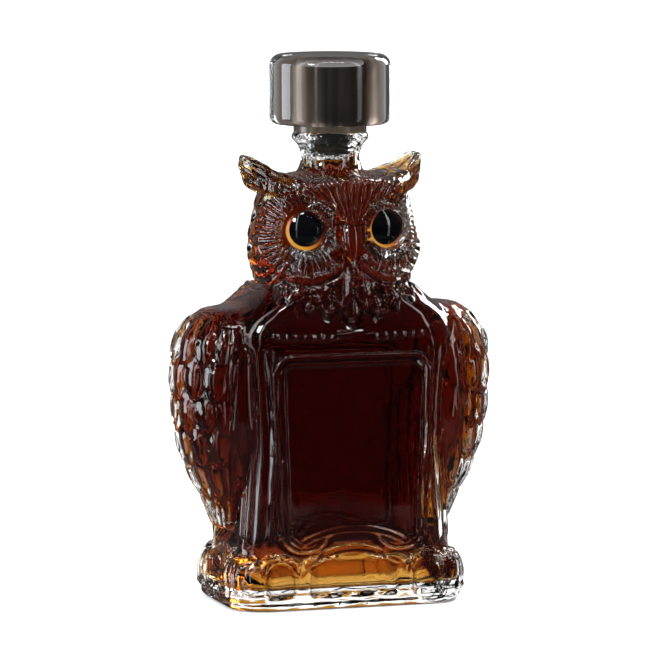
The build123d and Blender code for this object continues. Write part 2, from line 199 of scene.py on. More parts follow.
def corners_of(obj):
    """Point of each face corner, first corner of each face, and triangles in each face."""
    mesh = obj.data
    loops = np.empty(len(mesh.loops), dtype=np.int64)
    mesh.loops.foreach_get("vertex_index", loops)
    starts = np.empty(len(mesh.polygons), dtype=np.int64)
    mesh.polygons.foreach_get("loop_start", starts)
    return loops, starts, np.diff(np.append(starts, len(loops))) - 2


def mark_groove_shade(obj):
    """Stores how sharply each point is hollowed, so that the glass can paint shade into its grooves as darker
    lines.
    """
    a, b, count = edge_ends(obj)
    p, n = points_of(obj), normals_of(obj)
    step, size = p[b] - p[a], len(p)
    lift = np.bincount(a, (step * n[a]).sum(1), size) - np.bincount(b, (step * n[b]).sum(1), size)
    reach = np.bincount(a, (step ** 2).sum(1), size) + np.bincount(b, (step ** 2).sum(1), size)
    bend = 4 * lift / np.maximum(reach, 1e-9)
    count = np.maximum(count, 1)
    for _ in range(2):
        bend = 0.5 * bend + 0.5 * (np.bincount(a, bend[b], size) + np.bincount(b, bend[a], size)) / count
    tone = np.clip((bend - GROOVE_SHADE_START) / GROOVE_SHADE_RANGE, 0, 1)
    # Painted shade: this value darkens the glass colour in the hollows, where shade falls
    obj.data.attributes.new("groove_shade", "FLOAT", "POINT").data.foreach_set("value", tone)


def thin_out(obj, part, total):
    """Thins a part of a mesh out, until the whole mesh has so many triangles."""
    loops, starts, sides = corners_of(obj)
    chosen = np.minimum.reduceat(part(points_of(obj))[loops].astype(int), starts) > 0
    goal = total - sides[~chosen].sum()
    say(f"{sides.sum()} triangles, {sides[chosen].sum()} of them thinned out to {goal}")
    obj.data.polygons.foreach_set("select", chosen)
    bpy.ops.object.mode_set(mode="EDIT")
    bpy.ops.mesh.decimate(ratio=min(1, goal / sides[chosen].sum()))
    bpy.ops.object.mode_set(mode="OBJECT")


# Shaping curves

def ease(low, high, value):
    """0 below low, 1 above high and a smooth rise between them."""
    part = np.clip((value - low) / (high - low), 0, 1)
    return part * part * (3 - 2 * part)


def between(low, high, soft, value):
    """1 between low and high, with soft ends."""
    return ease(low - soft, low, value) * (1 - ease(high, high + soft, value))


def ridge(turns):
    """Rounded ridges with sharp valleys, one for each whole turn."""
    return np.abs(np.sin(np.pi * turns))


def bead(distance, half_width):
    """Round bead across a distance."""
    return np.sqrt(np.clip(1 - (distance / half_width) ** 2, 0, 1))


def through(value, steps, levels):
    """Smooth curve through given levels."""
    steps, levels = np.array(steps), np.array(levels)
    slope = np.gradient(levels, steps)
    value = np.clip(value, steps[0], steps[-1])
    index = np.clip(np.searchsorted(steps, value, side="right") - 1, 0, len(steps) - 2)
    width = steps[index + 1] - steps[index]
    t = (value - steps[index]) / width
    return (levels[index] * (1 + 2 * t) * (1 - t) ** 2 + slope[index] * width * t * (1 - t) ** 2
            + levels[index + 1] * t * t * (3 - 2 * t) + slope[index + 1] * width * t * t * (t - 1))


def ripple(x, y, z, pitch):
    """Uneven, smooth ripple between -1 and 1."""
    k = 2 * np.pi / pitch
    return (np.sin(k * (x + 0.6 * y)) * np.cos(k * (0.8 * z + 0.3 * x))
            + np.sin(k * (1.7 * z - 0.9 * x + 0.4 * y) + 1.3) * np.cos(k * (1.3 * y - 0.5 * z))) / 2


def draw_in_kick(p, inner):
    """Draws in the glass kick under the liquor, so that more of the foot is filled."""
    x, y, z = p.T
    a = np.abs(x)
    q = p.copy()
    draft = np.clip(z - 9, 0, 18) / 2
    kick = inner * (z < 27.8) * (np.abs(y) < 28.0 - draft) * (a < 47.4 - draft)
    q[:, 0] *= 1 - KICK_DRAW[0] * kick
    q[:, 1] *= 1 - KICK_DRAW[1] * kick
    return q


def clear_of_ears(p):
    """1 on the hollow, and 0 in the ears, whose hollow is too thin to smooth."""
    return 1 - ease(20, 24, np.abs(p[:, 0])) * (p[:, 2] > 172)


def fill_ears(obj, chosen, out, wall):
    """Spreads the hollow of each brow and ear until the glass round it has an even wall."""
    mesh = bpy.data.objects["flask_glass"].data
    skin = [tuple(f.vertices) for f in mesh.polygons
            if f.material_index == 0 and f.center.z > 0.16 and abs(f.center.x) > 0.004]
    tree = BVHTree.FromPolygons([v.co for v in mesh.vertices], skin)
    p, n = points_of(obj), normals_of(obj) * out
    share = chosen * ease(12, 19, np.abs(p[:, 0])) * ease(174, 180, p[:, 2])
    for index in np.nonzero(share)[0]:
        gap = tree.ray_cast(Vector(p[index] / 1000), Vector(n[index]), EAR_REACH)[3]
        if gap is not None:
            p[index] += n[index] * share[index] * max(0.0, gap * 1000 - wall)
    set_points(obj, p)
    relax(obj, EAR_ROUNDS, share)


def lower_crown(p):
    """Sets the top of the head lower round the neck."""
    x, y, z = p.T
    a = np.abs(x)
    drop = 0.38 * np.maximum(z - 187, 0) * ease(12.8, 15.5, np.hypot(x, y)) * (1 - ease(19, 27, a) * (y < 17))
    q = p.copy()
    q[:, 2] -= drop * (z < 199)
    return q


# Relief of the glass, in millimetres over the plain form

def shape_wings(p, outer, size):
    """Lays the wing skin on its ovals and raises the overlapping scales and the long feathers."""
    x, y, z = p.T
    a = np.abs(x)
    share = (z - WING_LOW) / (WING_HIGH - WING_LOW)
    reach = WING_REACH * through(share, WING_STEPS, WING_REACHES)
    depth = WING_DEPTH * through(share, WING_STEPS, WING_DEPTHS)
    angle = np.degrees(np.arctan2(y / depth, (a - WING_ROOT) / reach))
    turn = np.radians(angle)
    where = outer * ease(50.0, 53.0, a) * ease(33.5, 36.5, z) * (1 - ease(130.0, 132.8, z))
    height = np.zeros(len(p))
    for row in range(SCALE_ROWS):
        count = 7 - row % 2
        for column in range(count):
            centre = (column - (count - 1) / 2) * SCALE_STEP
            middle = SCALE_TOP_ROW - row * SCALE_PITCH
            across = (angle - centre) / 13.8
            along = (z - middle) / 11.6
            narrow = 1 - 0.26 * np.clip(-along, 0, 1) ** 1.6 - 0.12 * np.clip(along, 0, 1) ** 2
            reachq = np.sqrt((across / narrow) ** 2 + along ** 2 * np.where(along > 0, 1.15, 1.0))
            inside = np.clip(1 - reachq ** 2.3, 0, 1)
            lobe = np.sqrt(inside) * (1.95 - 0.5 * along)
            eye = -0.16 * np.exp(-((reachq - 0.54) / 0.12) ** 2)
            height = np.maximum(height, lobe + np.where(inside > 0, eye, 0))
    edge = between(-95, -69, 4, angle)
    quills = 0.6 * ridge(angle / 8.0 + z / 38) + 0.2 * ridge(z / 9.0 + angle / 30)
    height = height * (1 - edge) + (0.6 + quills) * edge
    low = 1 - ease(42, 48, z)
    fan = 0.9 * ridge((angle + 8) / (13.5 + 0.12 * (z - 34))) + 0.35 * ridge((angle + 4) / 5.2 + z / 30)
    height = height * (1 - low) + (0.5 + fan) * low
    height = height + 0.3 * ripple(x, y, z, 8.0) * ease(124, 129, z)
    radius = np.hypot(reach * np.cos(turn), depth * np.sin(turn))
    grown = 1 + size.scale_relief * 1000 * (height - 1.05) / 1.5 / radius
    target = p.copy()
    target[:, 0] = np.sign(x) * (WING_ROOT + reach * np.cos(turn) * grown)
    target[:, 1] = depth * np.sin(turn) * grown
    return p + (target - p) * where[:, None]


def panel_edge(a, z):
    """Distance outside the label frame's outline."""
    wide = np.interp(z, (25, 114), (34.0, 37.2))
    across, along = a - (wide - FRAME_CORNER), np.abs(z - 70) - (44 - FRAME_CORNER)
    beyond = np.hypot(np.maximum(across, 0), np.maximum(along, 0))
    return beyond + np.minimum(np.maximum(across, along), 0) - FRAME_CORNER


def face_relief(x, z):
    """Height of the label frame, the lobes under it and the bars over the foot's arch."""
    a = np.abs(x)
    edge = panel_edge(a, z)
    sides = (1.45 * bead(edge + 1.3, 1.3) + 0.75 * bead(edge + 4.6, 0.9)) * ease(31, 34, z)
    lobe = np.hypot((a - 22.3) / 12.0, (z - 33.0) / 8.6)
    hang = (1.45 * bead((lobe - 0.92) * 10, 1.2) + 0.7 * bead((lobe - 0.66) * 10, 0.8)) * (z < 33)
    turn = (np.degrees(np.arctan2(z - 33, a - 22.3)) / 14) % 1
    dots = 0.8 * bead(np.hypot((lobe - 0.42) * 10, (turn - 0.5) * 2.2), 0.9) * (z < 32.5)
    arch = np.hypot(x, z + 16.1) - 44.6
    bars = (0.9 * bead(arch - 7.6, 0.9) + 0.8 * bead(arch - 5.0, 0.8)) * (1 - ease(22, 25, a))
    return np.maximum(np.maximum(sides, (hang + dots) * (a > 8)), bars)


def face_part(p):
    """The owl's face and bib, which keep all their points."""
    x, y, z = p.T
    return (z > 124) & (z < 200) & (y < 3) & ((z > 141) | (y < -24)) & (np.hypot(x, y) > 12)


def border_part(p):
    """The flat border along the trunk's relief, which keeps all its points so that the panels shade flat."""
    x, y, z = p.T
    flat = (np.abs(np.abs(y) - TRUNK_FACE) < 0.05) & (np.abs(x) < 39) & (z > 23) & (z < 118)
    flat &= face_relief(x, z) == 0
    near = np.zeros(len(p), bool)
    for dx, dz in ((1.2, 0), (-1.2, 0), (0, 1.2), (0, -1.2)):
        near |= face_relief(x + dx, z + dz) > 0
    return flat & near


def shape_faces(p, outer):
    """Planes the front and back of the trunk flat and lays their relief on them."""
    x, y, z = p.T
    a = np.abs(x)
    face = outer * (1 - ease(37.6, 39.0, a)) * ease(22.5, 24.0, z) * (1 - ease(117, 119, z))
    face = face * ease(31.6, 32.3, np.abs(y))
    target = p.copy()
    target[:, 1] = np.sign(y) * (TRUNK_FACE + face_relief(x, z))
    return p + (target - p) * face[:, None]


def raise_flutes(p, outer):
    """Upright flutes on the trunk's rounded corners."""
    x, y, z = p.T
    a, b = np.abs(x), np.abs(y)
    half = np.interp(z, (0, 30, 69, 119), (49.0, 49.0, 46.5, 49.75))
    corner = np.degrees(np.arctan2(b - 18, a - (half - 15)))
    where = outer * between(8, 84, 6, corner) * between(31, 114, 4, z) * (b > 17) * (a > half - 17)
    return where * 1.1 * (ridge(corner / 21.0) - 0.4)


def raise_band(p, outer):
    """Row of plain beads under the shoulders, front and back."""
    x, y, z = p.T
    where = outer * (np.abs(x) < 37.5) * (np.abs(x) > 7.3) * (np.abs(y) > 29)
    line = 120.8 + 0.0012 * x * x
    step = (x / 4.2) % 1 - 0.5
    return where * 0.8 * bead(np.hypot(step * 4.2, z - line), 1.75)


def eye_polar(p, side):
    """Distance and bearing about an eye's axis, and how far a point stands out of the eye's floor."""
    out = np.array([side * math.sin(EYE_SPLAY), -math.cos(EYE_SPLAY), 0])
    across = np.array([side * math.cos(EYE_SPLAY), math.sin(EYE_SPLAY), 0])
    d = p - np.array([side * EYE_SPREAD, -EYE_FLOOR, EYE_HEIGHT])
    u, w = d @ across, d[:, 2]
    return np.hypot(u, w), np.degrees(np.arctan2(w, u)), d @ out


def lower_rims(p, outer):
    """Draws the raised rings round the eyes down, so that the eyes stand free."""
    q = p.copy()
    for side in (-1, 1):
        r, bearing, out = eye_polar(p, side)
        toward = -side * np.cos(np.radians(bearing))
        ring = (r < EYE_RING) * (out < 5.0) * (0.7 + 0.28 * ease(0, 0.5, toward))
        ring = ring * (1 - ease(10.4, EYE_RING, r))
        bridge = (out < 9.0) * 0.75 * (1 - ease(EYE_RING, 16.5, r)) * ease(0.1, 0.7, toward)
        drop = outer * (out > 2.0) * (p[:, 0] * side > 1.5) * (out - 2.0) * np.maximum(ring, bridge)
        q[:, 0] -= side * math.sin(EYE_SPLAY) * drop
        q[:, 1] += math.cos(EYE_SPLAY) * drop
    return q


def raise_discs(p, outer):
    """Radial feather ridges of the facial discs and the rolled rim under each."""
    x, y, z = p.T
    total = np.zeros(len(p))
    for side in (-1, 1):
        r, bearing, out = eye_polar(p, side)
        here = outer * (x * side > 3.0) * (y < 14) * (z < 190)
        dish = between(11.2, 19.5, 1.4, r) * (out < 7.5 + 4 * between(-165, -15, 8, bearing))
        beakside = 1 - ease(125, 140, np.abs(bearing)) * 0.8
        wave = bearing + 3.0 * np.sin(np.radians(3 * bearing)) + 0.8 * ripple(x, y, z, 12.0)
        total += here * dish * beakside * (1.05 * ridge(wave / 9.0) - 0.4)
        low = between(-158, -22, 14, bearing)
        roll = 1.5 * np.exp(-((r - 21.0) / 1.5) ** 2) - 0.8 * np.exp(-((r - 24.0) / 1.1) ** 2)
        total += here * low * roll
    return total


def raise_brows(p, n, outer):
    """Strands that sweep from the beak's root over the forehead and up the ears."""
    x, y, z = p.T
    a = np.abs(x)
    low = through(a, BROW_SPREADS, BROW_HEIGHTS)
    where = outer * ease(0.2, 1.6, z - low) * (a < 46) * (1 - ease(198.5, 200.5, z))
    where = where * ease(14.2, 16.5, np.hypot(x, y))
    where = where * ease(5, 9, np.hypot(a, z - 168)) * ease(182, 190, z + 40 * (y < 12))
    facing = np.abs(n[:, 1])
    bearing = np.degrees(np.arctan2(z - 165.5 - 0.0042 * a * a, a))
    rear = ease(-6, 8, y)
    crown = np.degrees(np.arctan2(x, -y - 2))
    lines = bearing + 1.3 * ripple(x, y, z, 13.0)
    split = ease(19, 25, np.hypot(a, z - 166))
    broad = ridge(lines / 9.0)
    front = 1.2 * broad * (1 - split) + (0.9 * ridge(lines / 4.5) + 0.35 * broad) * split
    along_ear = ease(23, 29, a)
    middle = 190.2 + (a - 30) * 0.55 + 0.8 * ease(34, 43, a)
    front = front * (1 - along_ear) + 0.6 * ridge((z - middle + 0.04 * y) / 3.1) * facing * along_ear
    back = 0.80 * ridge(crown / 8.0 + 0.2 * np.sin(z / 3.0))
    ear = ease(26, 32, a)
    mix = rear * (1 - ear)
    return where * ((front * (1 - mix) + back * mix) - 0.45)


def raise_bib(p, outer):
    """Rounded blades, mid ribs and barbs on the bib feathers, and the cheek feathers beside them."""
    x, y, z = p.T
    front = outer * (y < -12) * (z < 158)
    total = np.zeros(len(p))
    done = np.zeros(len(p), bool)
    for spread, tip in BIB_TIPS:
        for side in ((-1, 1) if spread else (1,)):
            fan = math.atan2(side * spread * 0.38, 25)
            dx, dz = x - side * spread, z - tip
            along = (-dx * math.sin(fan) + dz * math.cos(fan)) / 24.4
            across = dx * math.cos(fan) + dz * math.sin(fan)
            half = 4.5 * np.clip(1 - (2 * along - 1) ** 2, 0.001, 1)
            s = across / half
            hit = (along > 0) & (along < 0.8) & (np.abs(s) < 1.0) & ~done & (y < -22)
            rib = 1.0 * np.exp(-(across / 0.55) ** 2)
            barbs = 0.55 * ridge(along * 24.4 / 1.9 - np.abs(across) / 2.0)
            barbs = barbs * (1 - np.exp(-(across / 0.9) ** 2))
            rim = 0.35 * np.exp(-((np.abs(s) - 0.88) / 0.10) ** 2)
            total[hit] = (0.9 * (1 - s ** 2) + rib + barbs + rim)[hit] - 0.45
            done |= hit
    a = np.abs(x)
    cheek = between(139, 150, 3, z) * between(17, 36, 3, a) * (y < 16) * ~done
    slant = a * 0.87 + z * 0.5 + 0.5 * ripple(x, y, z, 11.0)
    nape = between(139, 152, 3, z) * (y >= 4) * (1 - ease(30, 38, a) * (y < 10))
    total += outer * cheek * (1.25 * ridge(slant / 3.8) - 0.5)
    total += outer * nape * (0.8 * ridge(x / 4.0 + 0.12 * z) - 0.35) * ~done
    return np.where(front + outer * (z < 158) > 0, total, 0)


def raise_nape(p, outer):
    """Small overlapping feathers on the back and sides of the head."""
    x, y, z = p.T
    bearing = np.degrees(np.arctan2(x, y + 3))
    where = outer * (1 - ease(100, 118, np.abs(bearing))) * between(154, 188, 3, z)
    where = where * ease(15, 19, np.hypot(x, y + 3))
    height = np.zeros(len(p))
    for row in range(NAPE_ROWS):
        middle = NAPE_TOP_ROW - row * NAPE_PITCH
        shift = 0.5 * (row % 2)
        along = (z - middle) / 5.6
        across = (((bearing / 17 + shift) % 1) - 0.5) * 2 / 1.06
        q = np.hypot(across / (1 - 0.3 * np.clip(-along, 0, 1)), along)
        inside = np.clip(1 - q ** 2.2, 0, 1)
        height = np.maximum(height, np.sqrt(inside) * (1.35 - 0.45 * along))
    return where * (height - 0.4)


def raise_foot(p, n, outer):
    """Wavy double border over the arches, and ribs down the ends and corners of the foot."""
    x, y, z = p.T
    a, b = np.abs(x), np.abs(y)
    total = np.zeros(len(p))
    front = outer * (b > 27) * (z > 4) * (z < 33) * ease(0.35, 0.75, np.abs(n[:, 1]))
    for place, width, height in FOOT_ARCHES:
        half, rise = width / 2, 7.0
        radius = (half * half + rise * rise) / (2 * rise)
        d = np.hypot(a - place, z - (height - radius)) - radius
        here = front * (1 - ease(half - 3, half - 0.5, np.abs(a - place))) * (z > height - rise - 3)
        total += here * (1.3 * bead(d + 1.5, 1.5) + 0.7 * bead(d + 4.2, 0.9))
    ends = outer * (a > 44) * between(7, 22, 2, z)
    swirl = y / 4.6 + 0.35 * np.sin(z / 4.2)
    total += ends * ease(46, 52, a) * (0.75 * ridge(swirl) - 0.3)
    hem = outer * between(1.2, 7.5, 0.8, z) * 0.4 * ripple(x, y, z, 12.0)
    total += hem + outer * (0.5 * bead(z - 6.6, 0.9) - 0.45 * bead(z - 3.6, 1.0))
    return total


def raise_relief(p, n, outer):
    """All of the relief that stands out along the skin's normals."""
    rise = raise_flutes(p, outer) + raise_band(p, outer) + raise_discs(p, outer)
    rise = rise + raise_brows(p, n, outer) + raise_bib(p, outer) + raise_nape(p, outer)
    rise = rise + raise_foot(p, n, outer)
    return p + n * rise[:, None]


def near_liquor(flask):
    """Where the skin is the wall that the liquor lies against."""
    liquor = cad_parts["liquor"].data
    tree = BVHTree.FromPolygons([v.co for v in liquor.vertices], [tuple(f.vertices) for f in liquor.polygons])
    p, n = points_of(flask), normals_of(flask)
    a, z = np.abs(p[:, 0]), p[:, 2]
    wet = np.zeros(len(p), bool)
    for index in np.nonzero((a < 70) & (z > 7) & (z < np.where(a > 16, 199, 196.9)))[0]:
        here = Vector(p[index] / 1000)
        place, _, _, gap = tree.find_nearest(here, WALL_REACH)
        if place is not None and (gap < WALL_TOUCH or (place - here).dot(Vector(n[index])) > 0):
            wet[index] = True
    return wet


def even_out(flask, outer):
    """Smooths the steps of the cells away, most of all on the crown and shoulders, and lowers the crown."""
    p = points_of(flask)
    x, y, z = p.T
    relax(flask, CELL_ROUNDS)
    head = outer * ease(140, 146, z) * (1 - ease(198, 201, z)) * (np.hypot(x, y) > 15.5)
    beak = (np.abs(x) < 7.5) & (y < -26) & (z > 146) & (z < 174)
    ring = (eye_polar(p, 1)[0] < EYE_RING) | (eye_polar(p, -1)[0] < EYE_RING)
    relax(flask, HEAD_ROUNDS, head * ~beak * ~ring)
    crest = head * ease(180, 187, z) * (y < 8) * (1 - ease(24, 33, np.abs(x)))
    cap = outer * ease(122, 128, z) * (1 - ease(146, 150, z)) * ease(33, 39, np.abs(x))
    relax(flask, CROWN_ROUNDS, np.maximum(crest, cap))
    set_points(flask, lower_crown(points_of(flask)))


def free_eyes(flask, p, outer):
    """Lowers the rings round the eyes and smooths the nooks between them and the beak."""
    set_points(flask, lower_rims(p, outer))
    nook = np.zeros(len(p))
    for side in (-1, 1):
        r, _, out = eye_polar(p, side)
        beside = (out > -1) * (p[:, 0] * side > 5.0) * (p[:, 1] < -20)
        nook = np.maximum(nook, between(10.8, 18, 1.5, r) * beside)
    relax(flask, NOOK_ROUNDS, outer * nook * (np.abs(p[:, 0]) < 14))


# Settings

class DecanterGlass(bpy.types.PropertyGroup):
    """Sizes and tints of the moulded glass."""
    voxel: bpy.props.FloatProperty(
        name="Skin grain", description="Size of the cells that the glass skin is carved in",
        default=0.00062, unit="LENGTH")
    quick_voxel: bpy.props.FloatProperty(
        name="Quick grain", description="Cell size while trying things", default=0.0009, unit="LENGTH")
    scale_relief: bpy.props.FloatProperty(
        name="Scale relief", description="How far the wing scales stand out", default=0.0026, unit="LENGTH")
    faces: bpy.props.IntProperty(
        name="Faces", description="Most triangles in the glass skin", default=196000)
    tint: bpy.props.FloatVectorProperty(
        name="Tint", description="Colour of the clear glass", subtype="COLOR",
        default=(0.985, 0.99, 0.985), min=0, max=1)
    # Painted shade: the dark colour that the glass is given in its hollows
    groove_shade_tint: bpy.props.FloatVectorProperty(
        name="Groove tint", description="Colour of the glass in its grooves", subtype="COLOR",
        default=(0.09, 0.04, 0.025), min=0, max=1)


class DecanterLiquor(bpy.types.PropertyGroup):
    """Fill and colour of the liquor."""
    grain: bpy.props.FloatProperty(
        name="Grain", description="Size of the cells of the liquor's skin", default=0.0012, unit="LENGTH")
    overlap: bpy.props.FloatProperty(
        name="Overlap", description="How far the liquor laps into the glass wall",
        default=0.00035, unit="LENGTH")
    rise: bpy.props.FloatProperty(
        name="Rise", description="How far the level is drawn up in the neck", default=0.003, unit="LENGTH")
    depth_colour: bpy.props.FloatVectorProperty(
        name="Depth colour", description="Colour that survives the depth", subtype="COLOR",
        default=(0.86, 0.72, 0.38), min=0, max=1)
    strength: bpy.props.FloatProperty(
        name="Strength", description="How fast the liquor takes up light", default=510.0)


class DecanterStage(bpy.types.PropertyGroup):
    """Camera and light."""
    azimuth: bpy.props.FloatProperty(
        name="Azimuth", description="Turn of the camera to the owl's right",
        default=math.radians(17.8), subtype="ANGLE")
    distance: bpy.props.FloatProperty(
        name="Distance", description="Camera distance over the ground", default=2.2, unit="LENGTH")
    height: bpy.props.FloatProperty(
        name="Height", description="Camera height", default=0.368, unit="LENGTH")
    aim: bpy.props.FloatProperty(
        name="Aim", description="Height that the camera looks at", default=0.1208, unit="LENGTH")
    lens: bpy.props.FloatProperty(
        name="Lens", description="Focal length in millimetres", default=268.7)
    floor_radius: bpy.props.FloatProperty(
        name="Floor radius", description="Reach of the stage paper", default=0.34, unit="LENGTH")
    floor_drop: bpy.props.FloatProperty(
        name="Floor drop", description="Gap that keeps paper and glass apart", default=0.0003, unit="LENGTH")


# Materials

def new_material(name):
    mat = bpy.data.materials.new(name)
    mat.use_nodes = True
    nodes, links = mat.node_tree.nodes, mat.node_tree.links
    return mat, nodes, links, nodes["Principled BSDF"]


def object_noise(nodes, links, scale, detail=3.0, stretch=(1, 1, 1)):
    """Noise on Object coordinates, stretched along an axis."""
    place = nodes.new("ShaderNodeTexCoord")
    mapping = nodes.new("ShaderNodeMapping")
    mapping.inputs["Scale"].default_value = stretch
    noise = nodes.new("ShaderNodeTexNoise")
    noise.inputs["Scale"].default_value = scale
    noise.inputs["Detail"].default_value = detail
    links.new(place.outputs["Object"], mapping.inputs["Vector"])
    links.new(mapping.outputs["Vector"], noise.inputs["Vector"])
    return noise


def add_bump(nodes, links, shader, height, strength, distance):
    bump = nodes.new("ShaderNodeBump")
    bump.inputs["Strength"].default_value = strength
    bump.inputs["Distance"].default_value = distance
    links.new(height, bump.inputs["Height"])
    links.new(bump.outputs["Normal"], shader.inputs["Normal"])
    return bump


def fill_slot(links, socket, term):
    """Gives a socket a value, or a link to another socket."""
    if isinstance(term, bpy.types.NodeSocket):
        links.new(term, socket)
    else:
        socket.default_value = term


def worked_out(nodes, links, operation, *terms):
    """Result of a sum that a Math node works out."""
    node = nodes.new("ShaderNodeMath")
    node.operation = operation
    for socket, term in zip(node.inputs, terms):
        fill_slot(links, socket, term)
    return node.outputs["Value"]


def along_way(nodes, links, place, way):
    """How far a place lies along a direction."""
    node = nodes.new("ShaderNodeVectorMath")
    node.operation = "DOT_PRODUCT"
    node.inputs[1].default_value = way
    links.new(place, node.inputs[0])
    return node.outputs["Value"]


def rescaled(nodes, links, value, low, high, first=0.0, last=1.0, kind="LINEAR"):
    """Takes a value from between low and high to between first and last."""
    node = nodes.new("ShaderNodeMapRange")
    node.interpolation_type = kind
    for name, level in (("From Min", low), ("From Max", high), ("To Min", first), ("To Max", last)):
        node.inputs[name].default_value = level
    links.new(value, node.inputs["Value"])
    return node.outputs["Result"]


def blended(nodes, links, kind, factor, first, second):
    """Mix of two values or, where kind is RGBA, of two colours."""
    node = nodes.new("ShaderNodeMix")
    node.data_type = kind
    links.new(factor, node.inputs["Factor"])
    fill_slot(links, node.inputs["A"], first)
    fill_slot(links, node.inputs["B"], second)
    return node.outputs["Result"]


def coloured(nodes, links, value, *stops):
    """Colours a value by stops, each a position and a colour, in rising order."""
    node = nodes.new("ShaderNodeValToRGB")
    first, last = node.color_ramp.elements
    for place, (position, colour) in ((first, stops[0]), (last, stops[-1])):
        place.position, place.color = position, (*colour, 1)
    for position, colour in stops[1:-1]:
        node.color_ramp.elements.new(position).color = (*colour, 1)
    links.new(value, node.inputs["Fac"])
    return node.outputs["Color"]


def turn_clear(shader, index):
    """Makes a shader clear and polished, with an index of refraction."""
    shader.inputs["Roughness"].default_value = 0.0
    shader.inputs["IOR"].default_value = index
    shader.inputs["Transmission Weight"].default_value = 1.0


def flask_glass():
    """Clear pressed glass, a little wavy, with painted shade darkening its grooves."""
    mat, nodes, links, shader = new_material("Flask glass")
    look = bpy.context.scene.decanter_glass
    groove_shade = nodes.new("ShaderNodeAttribute")
    groove_shade.attribute_name = "groove_shade"
    # Painted shade: the glass colour turns dark brown in the hollows
    tint = blended(nodes, links, "RGBA", groove_shade.outputs["Fac"], (*look.tint, 1), (*look.groove_shade_tint, 1))
    links.new(tint, shader.inputs["Base Color"])
    turn_clear(shader, GLASS_INDEX)
    waves = object_noise(nodes, links, 160.0, 2.0, (1, 1, 0.6))
    add_bump(nodes, links, shader, waves.outputs["Fac"], 0.05, 0.0006)
    return mat


def wetted_wall():
    """The glass wall where liquor lies against it, which can't be seen."""
    mat, nodes, links, _ = new_material("Wetted wall")
    clear = nodes.new("ShaderNodeBsdfTransparent")
    links.new(clear.outputs["BSDF"], nodes["Material Output"].inputs["Surface"])
    return mat


def amber_liquor():
    """Dark amber liquor that glows orange where it is thin."""
    look = bpy.context.scene.decanter_liquor
    mat, nodes, links, shader = new_material("Amber liquor")
    shader.inputs["Base Color"].default_value = (0.99, 0.97, 0.94, 1)
    turn_clear(shader, LIQUOR_INDEX)
    absorb = nodes.new("ShaderNodeVolumeAbsorption")
    absorb.inputs["Color"].default_value = (*look.depth_colour, 1)
    absorb.inputs["Density"].default_value = look.strength
    links.new(absorb.outputs["Volume"], nodes["Material Output"].inputs["Volume"])
    return mat


def clear_glass(name):
    """Polished clear glass of the stopper and the eye domes."""
    mat, nodes, links, shader = new_material(name)
    shader.inputs["Base Color"].default_value = (0.99, 0.995, 1.0, 1)
    turn_clear(shader, GLASS_INDEX)
    waves = object_noise(nodes, links, 45.0, 1.0)
    add_bump(nodes, links, shader, waves.outputs["Fac"], 0.08, 0.0008)
    return mat


def core_metal():
    """Dark metal with an upright brushed grain."""
    mat, nodes, links, shader = new_material("Core metal")
    shader.inputs["Metallic"].default_value = 1.0
    streaks = object_noise(nodes, links, 220.0, 4.0, (1, 1, 0.03))
    tone = coloured(nodes, links, streaks.outputs["Fac"],
                    (0.3, (0.078, 0.064, 0.055)), (0.75, (0.20, 0.15, 0.118)))
    links.new(tone, shader.inputs["Base Color"])
    rough = rescaled(nodes, links, streaks.outputs["Fac"], 0, 1, 0.26, 0.42)
    links.new(rough, shader.inputs["Roughness"])
    add_bump(nodes, links, shader, streaks.outputs["Fac"], 0.15, 0.0002)
    return mat


def dark_finish(name, colour, roughness, grain, depth, shine=0.5):
    """Dark polymer, rubber or enamel with its own grain."""
    mat, nodes, links, shader = new_material(name)
    noise = object_noise(nodes, links, grain, 4.0)
    tone = coloured(nodes, links, noise.outputs["Fac"],
                    (0, [c * 0.7 for c in colour]), (1, [c * 1.35 for c in colour]))
    links.new(tone, shader.inputs["Base Color"])
    shader.inputs["Roughness"].default_value = roughness
    shader.inputs["Specular IOR Level"].default_value = shine
    add_bump(nodes, links, shader, noise.outputs["Fac"], 0.2, depth)
    return mat


def iris_enamel_painted_light(side):
    """Amber enamel with painted light: a painted highlight low on one side, painted shade under the brow, and
    a painted glow.
    """
    mat, nodes, links, shader = new_material("Iris enamel")
    place = nodes.new("ShaderNodeTexCoord")
    centre = nodes.new("ShaderNodeVectorMath")
    centre.operation = "SUBTRACT"
    centre.inputs[1].default_value = (side * EYE_SPREAD / 1000, -EYE_FLOOR / 1000, EYE_HEIGHT / 1000)
    links.new(place.outputs["Object"], centre.inputs[0])
    along = along_way(nodes, links, centre.outputs["Vector"], IRIS_PAINTED_LIGHT_WAY)
    share = rescaled(nodes, links, along, -IRIS_RADIUS, IRIS_RADIUS)
    noise = object_noise(nodes, links, 900.0, 3.0)
    # Random mottle laid over a painted gradient of light and shade across the iris
    mottle_and_painted_light = worked_out(nodes, links, "MULTIPLY_ADD", noise.outputs["Fac"], 0.12, share)
    tone = coloured(nodes, links, mottle_and_painted_light, (0.36, (0.02, 0.004, 0.002)), (0.50, (0.16, 0.02, 0.008)),
                    (0.66, (0.50, 0.10, 0.015)), (0.84, (0.90, 0.36, 0.035)), (1.0, (1.0, 0.50, 0.06)))
    links.new(tone, shader.inputs["Base Color"])
    # Painted glow: the iris gives off light though it is no lamp
    links.new(tone, shader.inputs["Emission Color"])
    shader.inputs["Emission Strength"].default_value = 0.5
    shader.inputs["Roughness"].default_value = 0.35
    shader.inputs["Specular IOR Level"].default_value = 0.0
    return mat


def dress(obj, mat):
    obj.data.materials.clear()
    obj.data.materials.append(mat)


